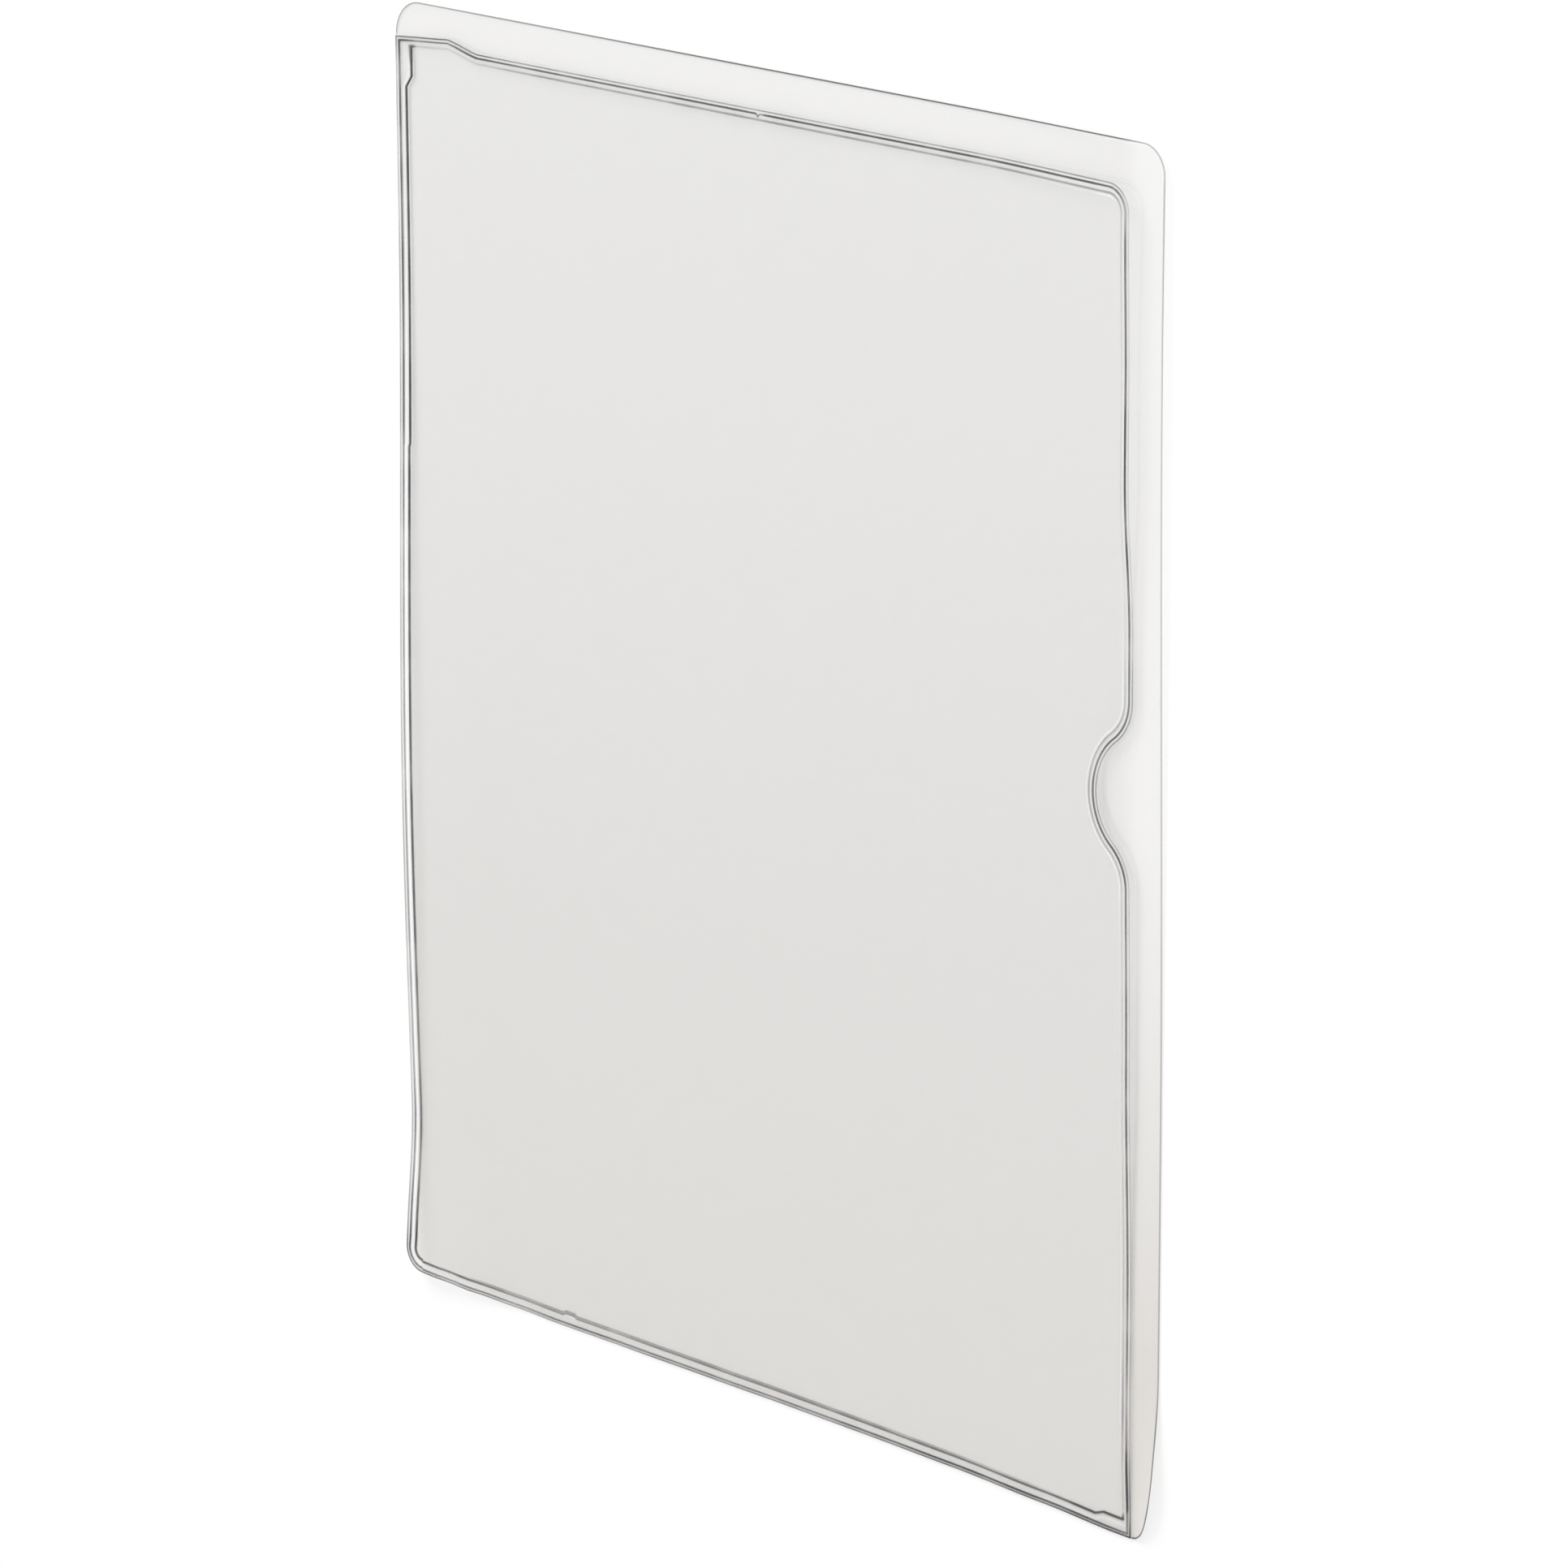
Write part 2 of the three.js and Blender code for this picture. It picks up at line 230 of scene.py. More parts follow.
def sealedRun():
    radius = jacket["sealedCornerRadius"]
    centre = (left + radius, bottom + radius)
    headEnd = tabCornerTop - toolLines["headLength"]
    sideStart = headEnd - toolLines["stepLength"]
    jogY = top - toolLines["jogFromTop"]
    jog = toolLines["jogWidth"] / 2
    footStart = frontRight - toolLines["footLength"]
    baseEnd = footStart - toolLines["stepLength"]
    kinkX = left + toolLines["kinkFromLeft"]
    kink = toolLines["kinkHalfLength"]
    headLimit = tabCornerTop - outlineDetail["clearOfHead"]
    head = [p for p in straightRun((left, tabCornerTop), (left, headEnd)) if p[1] < headLimit]
    aboveJog = (left, jogY + outlineDetail["jogHalfLength"])
    belowJog = (left, jogY - outlineDetail["jogHalfLength"])
    upper = marked(straightRun((left, sideStart), aboveJog) + [aboveJog], "side")
    lower = marked(straightRun(belowJog, (left, centre[1])), "side")
    for spot in upper:
        spot["lines"] = (spot["lines"][0], spot["lines"][1] + jog)
    for spot in lower:
        spot["lines"] = (spot["lines"][0], spot["lines"][1] - jog)
    corner = marked(arcRun(centre, radius, math.pi, 1.5 * math.pi, outlineDetail["arcStep"]), "corner")
    base = (
        straightRun((centre[0], bottom), (kinkX - kink, bottom))
        + [(kinkX - kink, bottom), (kinkX - kink * 0.7, bottom), (kinkX, bottom)]
        + [(kinkX + kink * 0.8, bottom), (kinkX + kink, bottom)]
        + straightRun((kinkX + kink, bottom), (baseEnd, bottom))[1:]
        + [(baseEnd, bottom)]
    )
    base = marked(base, "base")
    for spot in base:
        if abs(spot["at"][0] - kinkX) < kink * 0.9:
            spot["lines"] = (spot["lines"][0], spot["lines"][1] + toolLines["kinkDepth"])
    footLimit = frontRight - outlineDetail["clearOfFoot"]
    foot = [p for p in straightRun((footStart, bottom), (frontRight, bottom)) if p[0] < footLimit]
    head = marked(head + [(left, headEnd)], "head")
    return head + upper + lower + corner + base + marked(foot, "foot")


def notchedSide():
    notchY = bottom + jacket["notchFromBottom"]
    centreOut = jacket["notchRadius"] - jacket["notchDepth"]
    reach = jacket["notchRadius"] + jacket["notchFilletRadius"]
    across = jacket["notchFilletRadius"] + centreOut
    along = math.sqrt(reach * reach - across * across)
    turn = math.acos(across / reach)
    filletX = frontRight - jacket["notchFilletRadius"]
    step = outlineDetail["notchStep"]
    lower = (filletX, notchY - along)
    upper = (filletX, notchY + along)
    lowest = bottom + outlineDetail["clearOfHem"]
    below = straightRun((frontRight, bottom), (frontRight, lower[1]))
    clear = [point for point in below if point[1] > bottom + outlineDetail["firstAboveHem"]]
    centre = (frontRight + centreOut, notchY)
    return (
        [(frontRight, lowest)]
        + clear
        + arcRun(lower, jacket["notchFilletRadius"], 0, turn, step)
        + arcRun(centre, jacket["notchRadius"], math.pi + turn, math.pi - turn, step)
        + arcRun(upper, jacket["notchFilletRadius"], -turn, 0, step)
        + straightRun((frontRight, upper[1]), (frontRight, frontTop - jacket["frontCornerRadius"]))
    )


def steppedTop():
    radius = jacket["frontCornerRadius"]
    stepStart = left + jacket["tabLength"] + jacket["tabStepLength"]
    nickX = left + toolLines["nickFromLeft"]
    nick = [(nickX + offset, frontTop) for offset in outlineDetail["nickPoints"]]
    straightness = outlineDetail["tabStraightness"]
    step = []
    for i in range(outlineDetail["tabSteps"] + 1):
        share = i / outlineDetail["tabSteps"]
        rise = straightness * share + (1 - straightness) * ease(share)
        step.append((stepStart - jacket["tabStepLength"] * share, frontTop + jacket["tabRise"] * rise))
    tab = straightRun(step[-1], (left, tabCornerTop))[1:]
    centre = (frontRight - radius, frontTop - radius)
    corner = arcRun(centre, radius, 0, math.pi / 2, outlineDetail["arcStep"])
    edge = (
        straightRun((frontRight - radius, frontTop), nick[0])
        + nick[:-1]
        + straightRun(nick[-1], (stepStart, frontTop))
    )
    clear = outlineDetail["clearOfTab"]
    tabSlope = (tab[0][1] - tabCornerTop) / (tab[0][0] - left)
    tabEnd = (left + clear, tabCornerTop + tabSlope * clear)
    tab = [p for p in tab if p[0] > tabEnd[0] + outlineDetail["pointSpacing"]] + [tabEnd]
    spots = marked(corner + edge + step + tab, "hem")
    for spot in spots:
        if abs(spot["at"][0] - nickX) < 0.1:
            spot["lines"] = (spot["lines"][0] + toolLines["nickDepth"], spot["lines"][1])
    return spots


def frontOutline():
    headCorner = marked([(left, tabCornerTop)], "hem")[0]
    footCorner = marked([(frontRight, bottom)], "foot")[0]
    headCorner.update({"nextEdge": "head", "nextLines": toolLines["head"]})
    footCorner.update({"nextEdge": "hem", "nextLines": toolLines["hem"]})
    return [headCorner] + sealedRun() + [footCorner] + marked(notchedSide(), "hem") + steppedTop()


def backOutline():
    radius = jacket["openCornerRadius"]
    topLeft = jacket["topLeftRadius"]
    step = outlineDetail["arcStep"]
    flangeCorner = []
    for i in range(outlineDetail["flangeCornerSteps"]):
        angle = math.pi / 2 * i / outlineDetail["flangeCornerSteps"]
        across = jacket["sideFlange"] * math.sin(angle)
        upwards = jacket["flangeCornerHeight"] * (1 - math.cos(angle))
        flangeCorner.append((frontRight + across, bottom + upwards))
    points = (
        [(left, tabCornerTop)]
        + [spot["at"] for spot in sealedRun()]
        + flangeCorner
        + straightRun((right, bottom + jacket["flangeCornerHeight"]), (right, top - radius))
        + arcRun((right - radius, top - radius), radius, 0, math.pi / 2, step)
        + straightRun((right - radius, top), (left + topLeft, top))
        + arcRun((left + topLeft, top - topLeft), topLeft, math.pi / 2, math.pi, step)
    )
    return marked(points, "plain")


# Rings of a sheet, from the cut edge inwards. A ring stands at (share of the outer line's inset,
# share of the way from the outer to the inner line, millimetres more) and rises over the film.
ringPlan = [
    {"outer": 0.0, "way": 0.0, "more": 0.0, "rise": 0.0, "bead": "outer"},
    {"outer": 0.15, "way": 0.0, "more": 0.0, "rise": 0.0, "bead": "outer"},
    {"outer": 0.6, "way": 0.0, "more": 0.0, "rise": 0.0, "bead": "outer"},
    {"outer": 1.0, "way": 0.0, "more": -0.18, "rise": 0.6, "bead": "outer"},
    {"outer": 1.0, "way": 0.0, "more": 0.0, "rise": 1.0, "bead": "outer"},
    {"outer": 1.0, "way": 0.0, "more": 0.18, "rise": 0.5, "bead": "outer"},
    {"outer": 1.0, "way": 0.3, "more": 0.0, "rise": -0.2, "bead": "outer"},
    {"outer": 1.0, "way": 0.5, "more": 0.0, "rise": -0.2, "bead": "inner"},
    {"outer": 1.0, "way": 0.7, "more": 0.0, "rise": -0.1, "bead": "inner"},
    {"outer": 1.0, "way": 1.0, "more": -0.18, "rise": 0.5, "bead": "inner"},
    {"outer": 1.0, "way": 1.0, "more": 0.0, "rise": 1.0, "bead": "inner"},
    {"outer": 1.0, "way": 1.0, "more": 0.2, "rise": 0.5, "bead": "inner"},
    {"outer": 1.0, "way": 1.0, "more": 0.45, "rise": 0.0, "bead": "inner"},
    {"outer": 1.0, "way": 1.0, "more": 1.2, "rise": 0.0, "bead": "inner"},
]
beadRise = {  # millimetres over the film at the outer and the inner bead
    "hem": {"outer": 0.22, "inner": 0.05},
    "plain": {"outer": 0.0, "inner": 0.0},
    "seal": {"outer": 0.14, "inner": 0.22},
}
farInside = 9.0  # millimetres, past every line
innerScales = [0.985, 0.965, 0.94, 0.91, 0.87, 0.82, 0.76, 0.69, 0.61, 0.52, 0.42, 0.31, 0.2, 0.1, 0.03]


def insetAt(lines, ring):
    outer, inner = lines
    return outer * ring["outer"] + (inner - outer) * ring["way"] + ring["more"]


def riseAt(edge, ring):
    kind = edge if edge in ("hem", "plain") else "seal"
    return beadRise[kind][ring["bead"]] * ring["rise"]


def inwardNormal(a, b):
    length = math.dist(a, b)
    return (-(b[1] - a[1]) / length, (b[0] - a[0]) / length)


def insetPoint(point, before, after, insetBefore, insetAfter):
    cosine = before[0] * after[0] + before[1] * after[1]
    if abs(insetBefore - insetAfter) < 1e-6:
        scale = insetBefore / (1 + cosine)
        return (point[0] + (before[0] + after[0]) * scale, point[1] + (before[1] + after[1]) * scale)
    sineSquared = 1 - cosine * cosine
    weightBefore = (insetBefore - cosine * insetAfter) / sineSquared
    weightAfter = (insetAfter - cosine * insetBefore) / sineSquared
    x = point[0] + before[0] * weightBefore + after[0] * weightAfter
    y = point[1] + before[1] * weightBefore + after[1] * weightAfter
    return (x, y)


def ringsOf(outline):
    rings = []
    for plan in ringPlan:
        ring = []
        for i, spot in enumerate(outline):
            here = spot["at"]
            before = inwardNormal(outline[i - 1]["at"], here)
            after = inwardNormal(here, outline[(i + 1) % len(outline)]["at"])
            nextEdge = spot.get("nextEdge", spot["edge"])
            nextLines = spot.get("nextLines", spot["lines"])
            inset = insetAt(spot["lines"], plan)
            x, y = insetPoint(here, before, after, inset, insetAt(nextLines, plan))
            rise = (riseAt(spot["edge"], plan) + riseAt(nextEdge, plan)) / 2
            outer, inner = spot["lines"]
            away = (inset, inset - outer, inset - inner)
            ring.append({"x": x, "y": y, "rise": rise, "away": away})
        rings.append(ring)
    last = rings[-1]
    middleX = (min(p["x"] for p in last) + max(p["x"] for p in last)) / 2
    middleY = (min(p["y"] for p in last) + max(p["y"] for p in last)) / 2
    for scale in innerScales:
        ring = []
        for p in last:
            x = middleX + (p["x"] - middleX) * scale
            y = middleY + (p["y"] - middleY) * scale
            ring.append({"x": x, "y": y, "rise": 0.0, "away": (farInside,) * 3})
        rings.append(ring)
    return rings


# Strength of the dark lines, which are painted shade, and of the bright flanks, which are painted
# highlights, by millimetres along an edge. 1 is full strength, and more than 1 makes a line wider.
# Dark, painted shade: edge, outer line, inner line, faint line past the inner one. Bright, painted
# highlight: edge, middle, flank.
lineStrength = {
    "side": [  # from the top
        (9, (0.5, 1.1, 1.1, 0.0), (0.1, 0.1, 0.2)),
        (14, (0.35, 0.9, 1.3, 0.0), (0.2, 0.3, 0.6)),
        (25, (0.3, 0.95, 1.4, 0.0), (0.4, 0.5, 0.6)),
        (60, (0.35, 0.95, 1.25, 0.0), (0.5, 0.75, 0.6)),
        (98, (0.35, 0.9, 1.5, 0.0), (0.5, 0.85, 0.55)),
        (130, (0.3, 0.6, 0.95, 0.0), (0.5, 0.9, 0.2)),
        (200, (0.35, 0.6, 0.95, 0.0), (0.5, 1.0, 0.0)),
        (250, (0.3, 0.7, 0.75, 0.0), (0.5, 1.0, 0.0)),
        (275, (0.35, 0.8, 0.75, 0.0), (0.4, 0.9, 0.0)),
        (287, (0.5, 1.1, 1.2, 0.0), (0.3, 0.6, 0.0)),
        (294, (0.8, 1.2, 1.3, 0.0), (0.2, 0.5, 0.0)),
    ],
    "base": [  # from the left
        (2, (0.8, 1.0, 1.2, 0.0), (0.2, 0.4, 0.1)),
        (10, (0.55, 0.6, 0.75, 0.0), (0.1, 0.2, 0.1)),
        (35, (0.4, 0.55, 0.55, 0.35), (0.1, 0.2, 0.1)),
        (60, (0.35, 0.7, 0.4, 0.35), (0.1, 0.1, 0.1)),
        (90, (0.55, 0.6, 0.55, 0.35), (0.1, 0.2, 0.1)),
        (130, (0.5, 0.6, 0.55, 0.35), (0.0, 0.1, 0.1)),
        (160, (0.6, 0.85, 0.65, 0.3), (0.0, 0.2, 0.1)),
        (200, (0.7, 1.1, 0.7, 0.2), (0.0, 0.2, 0.1)),
        (221, (0.95, 0.95, 1.0, 0.0), (0.0, 0.3, 0.1)),
        (232, (1.1, 0.85, 1.3, 0.0), (0.0, 0.3, 0.2)),
    ],
    "open": [  # the side with the notch, from the top
        (12, (0.25, 0.65, 0.3, 0.0), (0.1, 0.3, 0.1)),
        (22, (0.2, 0.9, 0.2, 0.0), (0.35, 0.2, 0.1)),
        (60, (0.2, 1.15, 0.12, 0.0), (0.5, 0.15, 0.1)),
        (85, (0.2, 1.2, 0.12, 0.0), (0.6, 0.15, 0.1)),
        (100, (0.2, 0.85, 0.12, 0.0), (0.6, 0.3, 0.2)),
        (118, (0.35, 0.8, 0.25, 0.0), (0.7, 0.45, 0.4)),
        (135, (0.35, 0.9, 0.35, 0.0), (0.6, 0.4, 0.3)),
        (152, (0.25, 1.0, 0.25, 0.0), (0.5, 0.3, 0.5)),
        (165, (0.2, 0.8, 0.2, 0.0), (0.5, 0.3, 0.2)),
        (200, (0.2, 0.95, 0.15, 0.0), (0.6, 0.2, 0.2)),
        (255, (0.2, 0.8, 0.2, 0.0), (0.6, 0.3, 0.3)),
        (270, (0.2, 0.45, 0.4, 0.0), (0.4, 0.3, 0.4)),
        (279, (0.2, 0.9, 0.3, 0.0), (0.2, 0.2, 0.2)),
        (284, (0.3, 2.2, 0.2, 0.0), (0.2, 0.2, 0.1)),
        (291, (0.4, 2.4, 0.2, 0.0), (0.2, 0.2, 0.1)),
        (293.5, (0.5, 0.8, 0.2, 0.0), (0.2, 0.2, 0.1)),
        (297, (0.9, 0.8, 0.5, 0.0), (0.2, 0.2, 0.1)),
    ],
    "top": [  # from the left
        (0, (0.9, 0.7, 0.3, 0.0), (0.0, 0.1, 0.0)),
        (8, (0.75, 0.55, 0.2, 0.0), (0.0, 0.2, 0.1)),
        (18, (0.75, 0.65, 0.15, 0.0), (0.0, 0.3, 0.0)),
        (28, (0.6, 1.1, 0.2, 0.0), (0.0, 0.3, 0.1)),
        (45, (0.4, 0.8, 0.35, 0.0), (0.1, 0.3, 0.1)),
        (119.6, (0.35, 1.05, 0.4, 0.0), (0.1, 0.3, 0.1)),
        (120.6, (0.35, 1.1, 0.4, 0.0), (0.1, 0.3, 0.1)),
        (121.1, (0.35, 0.1, 0.4, 0.0), (0.1, 0.6, 0.1)),
        (121.6, (0.35, 1.05, 0.4, 0.0), (0.1, 0.3, 0.1)),
        (190, (0.35, 1.05, 0.35, 0.0), (0.1, 0.35, 0.1)),
        (222, (0.4, 1.05, 0.35, 0.0), (0.2, 0.4, 0.2)),
        (228, (0.4, 0.8, 0.4, 0.0), (0.2, 0.4, 0.5)),
        (234, (0.3, 0.7, 0.3, 0.0), (0.2, 0.4, 0.3)),
    ],
    "backTop": [  # from the left
        (0, (0.45, 0.0, 0.0, 0.0), (0.0, 0.0, 0.0)),
        (10, (0.4, 0.0, 0.0, 0.0), (0.0, 0.0, 0.0)),
        (40, (0.5, 0.0, 0.0, 0.0), (0.0, 0.0, 0.0)),
        (120, (0.75, 0.0, 0.0, 0.0), (0.0, 0.0, 0.0)),
        (228, (0.75, 0.0, 0.0, 0.0), (0.0, 0.0, 0.0)),
        (234, (0.35, 0.0, 0.0, 0.0), (0.1, 0.0, 0.0)),
    ],
    "backOpen": [  # from the top
        (8, (0.4, 0.0, 0.0, 0.0), (0.1, 0.0, 0.0)),
        (60, (0.32, 0.0, 0.0, 0.0), (0.1, 0.0, 0.0)),
        (262, (0.4, 0.0, 0.0, 0.0), (0.2, 0.0, 0.0)),
        (275, (0.7, 0.0, 0.0, 0.0), (0.0, 0.0, 0.0)),
        (298, (1.0, 0.0, 0.0, 0.0), (0.0, 0.0, 0.0)),
    ],
    "backSealed": [(0, (0.2, 0.0, 0.0, 0.0), (0.0, 0.0, 0.0))],
}


# Where one edge of the front sheet hands over to the next one's strengths
strengthReach = {
    "downFromTop": 16.0,
    "leftOfOpenEdge": 1.5,
    "leftOfNotch": 5.0,
    "upFromBase": 2.0,
    "besideCorner": 0.01,
}


def strengthAt(x, y, onFront):
    fromTop = top - y
    fromLeft = x - left
    if onFront:
        openLimit = frontRight - jacket["notchDepth"] - strengthReach["leftOfNotch"]
        beside = strengthReach["besideCorner"]
        atTop = fromTop < strengthReach["downFromTop"] and fromLeft > beside
        if atTop and x < frontRight - strengthReach["leftOfOpenEdge"]:
            keys, at = lineStrength["top"], fromLeft
        elif x > openLimit and y > bottom + beside:
            keys, at = lineStrength["open"], fromTop
        elif y < bottom + strengthReach["upFromBase"]:
            keys, at = lineStrength["base"], fromLeft
        else:
            keys, at = lineStrength["side"], fromTop
    elif y > top - jacket["topLeftRadius"]:
        keys, at = lineStrength["backTop"], fromLeft
    elif x > frontRight:
        keys, at = lineStrength["backOpen"], fromTop
    else:
        keys, at = lineStrength["backSealed"], 0
    lineShade = [between([(key[0], key[1][i]) for key in keys], at) for i in range(4)]
    glint = [between([(key[0], key[2][i]) for key in keys], at) for i in range(3)]
    return lineShade, glint


def buildFilm(name, outline, lift, onFront):
    rings = ringsOf(outline)
    strengths = [strengthAt(*spot["at"], onFront) for spot in outline]
    bpy.ops.object.select_all(action="DESELECT")
    size = jacket["width"] / 2 * mm
    bpy.ops.mesh.primitive_circle_add(vertices=len(outline), radius=size, fill_type="NGON")
    film = bpy.context.object
    film.name = name
    film.data.name = name
    bpy.ops.object.mode_set(mode="EDIT")
    bpy.ops.mesh.select_mode(type="FACE")
    bpy.ops.mesh.select_all(action="SELECT")
    mesh = bmesh.from_edit_mesh(film.data)
    mesh.verts.layers.int.new("ring")
    spotLayer = mesh.verts.layers.int.new("spot")
    mesh.verts.ensure_lookup_table()
    for i, vert in enumerate(mesh.verts):
        vert[spotLayer] = i
        vert.co = (rings[0][i]["x"] * mm, rings[0][i]["y"] * mm, 0)
    bmesh.update_edit_mesh(film.data)
    for number in range(1, len(rings)):
        bpy.ops.mesh.inset(thickness=0.02 * mm, depth=0)  # the ring's points are placed below
        mesh = bmesh.from_edit_mesh(film.data)
        ringLayer = mesh.verts.layers.int["ring"]
        spotLayer = mesh.verts.layers.int["spot"]
        face = next(f for f in mesh.faces if f.select)
        inner = set(face.verts)
        for vert in face.verts:
            outer = next(e.other_vert(vert) for e in vert.link_edges if e.other_vert(vert) not in inner)
            vert[ringLayer] = number
            vert[spotLayer] = outer[spotLayer]
        for vert in face.verts:
            place = rings[number][vert[spotLayer]]
            vert.co = (place["x"] * mm, place["y"] * mm, 0)
        bmesh.update_edit_mesh(film.data)
    bpy.ops.mesh.select_all(action="SELECT")
    bpy.ops.mesh.normals_make_consistent(inside=False)
    bpy.ops.mesh.extrude_region_move(TRANSFORM_OT_translate={"value": (0, 0, jacket["thickness"] * mm)})
    mesh = bmesh.from_edit_mesh(film.data)
    ringLayer = mesh.verts.layers.int["ring"]
    spotLayer = mesh.verts.layers.int["spot"]
    floats = mesh.verts.layers.float
    awayLayers = [floats.new(label) for label in ("fromEdge", "fromOuter", "fromInner")]
    # strengths of the dark lines (painted shade) and of the bright flanks (painted highlights)
    shadeLayer = mesh.verts.layers.float_color.new("shadeLines")
    glintLayer = mesh.verts.layers.float_color.new("glintLines")
    for face in mesh.faces:
        face.material_index = 0 if face.select else 1
    for vert in mesh.verts:
        place = rings[vert[ringLayer]][vert[spotLayer]]
        lineShade, glint = strengths[vert[spotLayer]]
        height = lift(place["x"], place["y"])
        if vert.select:
            height += jacket["thickness"] + place["rise"]
        vert[shadeLayer] = lineShade
        vert[glintLayer] = (*glint, 1.0)
        for layer, away in zip(awayLayers, place["away"]):
            vert[layer] = away
        vert.co.y = bowed(place["x"], place["y"]) * mm
        vert.co.z = height * mm
    bmesh.update_edit_mesh(film.data)
    bpy.ops.mesh.select_all(action="SELECT")
    bpy.ops.mesh.normals_make_consistent(inside=False)
    bpy.ops.object.mode_set(mode="OBJECT")
    bpy.ops.object.shade_smooth_by_angle(angle=math.radians(40))
    return film


# The line group makes the mask of every molded line of both films, where shade and highlights are
# painted
def newGroup(name, inputs, outputs):
    group = bpy.data.node_groups.new(name, "ShaderNodeTree")
    for label, value in inputs.items():
        kind = "NodeSocketVector" if isinstance(value, tuple) else "NodeSocketFloat"
        socket = group.interface.new_socket(name=label, in_out="INPUT", socket_type=kind)
        socket.default_value = value
    for label in outputs:
        group.interface.new_socket(name=label, in_out="OUTPUT", socket_type="NodeSocketFloat")
    return group, group.nodes.new("NodeGroupInput"), group.nodes.new("NodeGroupOutput")


def addNode(tree, kind, values=None, **settings):
    node = tree.nodes.new(kind)
    for label, value in settings.items():
        setattr(node, label, value)
    for label, value in (values or {}).items():
        if isinstance(value, bpy.types.NodeSocket):
            tree.links.new(value, node.inputs[label])
        else:
            node.inputs[label].default_value = value
    return node


def calc(tree, operation, a, b=None, clamp=False):
    values = {0: a} if b is None else {0: a, 1: b}
    return addNode(tree, "ShaderNodeMath", values, operation=operation, use_clamp=clamp).outputs[0]


def makeLineGroup():
    inputs = {"Away": 0.0, "Line": 0.0, "Half Width": 0.1, "Strength": 1.0}
    group, given, result = newGroup("moldedLine", inputs, ["Mask"])
    offset = calc(group, "SUBTRACT", given.outputs["Away"], given.outputs["Line"])
    away = calc(group, "ABSOLUTE", offset)
    ranges = {"Value": away, "From Min": given.outputs["Half Width"], "From Max": 0.0}
    fade = addNode(group, "ShaderNodeMapRange", ranges, interpolation_type="SMOOTHSTEP")
    mask = calc(group, "MULTIPLY", fade.outputs["Result"], given.outputs["Strength"], clamp=True)
    group.links.new(mask, result.inputs["Mask"])
    return group


lineGroup = makeLineGroup()

vinyl = {
    "filmColour": (0.56, 0.505, 0.44, 1),  # at the bottom, where the photo is a little warmer: painted shade
    "filmColourAtTop": (0.545, 0.53, 0.5, 1),
    "frontAlpha": (0.03, 0.006),  # how much of the light a film keeps, at the bottom and at the top; more at the bottom is painted shade
    "backAlpha": (0.17, 0.125),
    "undersideAlpha": 0.0,  # a film's tint is all on its upper face
    "flangePaintedShade": (1.45, 0.6),  # of that on the flange beside the pocket, at the bottom and higher up: painted shade at the bottom, painted light higher up
    "flangeShareFrom": 40.0,  # millimetres from the bottom edge
    "flangeShareTo": 150.0,
    # near black of the dark lines along the real weld beads and cut edges: painted shade
    "flangeShareFade": 5.0,  # millimetres beside the front sheet's edge, under it
    "lineShadeColour": (0.012, 0.013, 0.014, 1),
    # white of the painted highlights beside the weld lines
    "glintColour": (1, 1, 1, 1),
    "glintAlpha": 0.62,
    "lineCover": 4.0,  # how soon a line's painted shade or painted highlight colour takes over from the film's
    "mainHalfWidth": 0.46,  # millimetres
    "minorHalfWidth": 0.36,
    "bandHalfWidth": 0.85,
    "ior": 1.53,
    "roughness": 0.09,
    "breakupScale": 120.0,
    "breakupNoiseEnds": (0.3, 0.6),  # noise values at the two ends of the next range
    "breakupRange": (0.8, 1.05),  # share of a painted shade line that the noise leaves, so that the line looks broken
    "edgeShadeAt": 0.12,  # from the cut edge
    "faintShadeAt": 0.5,  # from the inner line, as the next two are
    "bandGlintAt": -1.15,
    "flankGlintAt": 0.62,
    "outerGlintAt": -0.5,  # from the outer line
}


def maskOf(tree, away, line, halfWidth, strength):
    node = addNode(tree, "ShaderNodeGroup", node_tree=lineGroup)
    tree.links.new(away, node.inputs["Away"])
    node.inputs["Line"].default_value = line
    node.inputs["Half Width"].default_value = halfWidth
    tree.links.new(strength, node.inputs["Strength"])
    return node.outputs["Mask"]


def strongest(tree, masks):
    total = masks[0]
    for mask in masks[1:]:
        total = calc(tree, "MAXIMUM", total, mask)
    return total


# A dark line along the back sheet's cut edge: painted shade
def addEdgeLine(tree, filmColour, filmAlpha):
    away = addNode(tree, "ShaderNodeAttribute", attribute_name="fromEdge").outputs["Fac"]
    lineShade = addNode(tree, "ShaderNodeAttribute", attribute_name="shadeLines")
    dark = addNode(tree, "ShaderNodeSeparateColor", {"Color": lineShade.outputs["Color"]}).outputs
    mask = maskOf(tree, away, vinyl["edgeShadeAt"], vinyl["minorHalfWidth"], dark[0])
    share = calc(tree, "MULTIPLY", mask, vinyl["lineCover"], clamp=True)
    colours = {0: share, 6: filmColour, 7: vinyl["lineShadeColour"]}
    colour = addNode(tree, "ShaderNodeMix", colours, data_type="RGBA")
    return colour.outputs[2], calc(tree, "MAXIMUM", filmAlpha, mask)


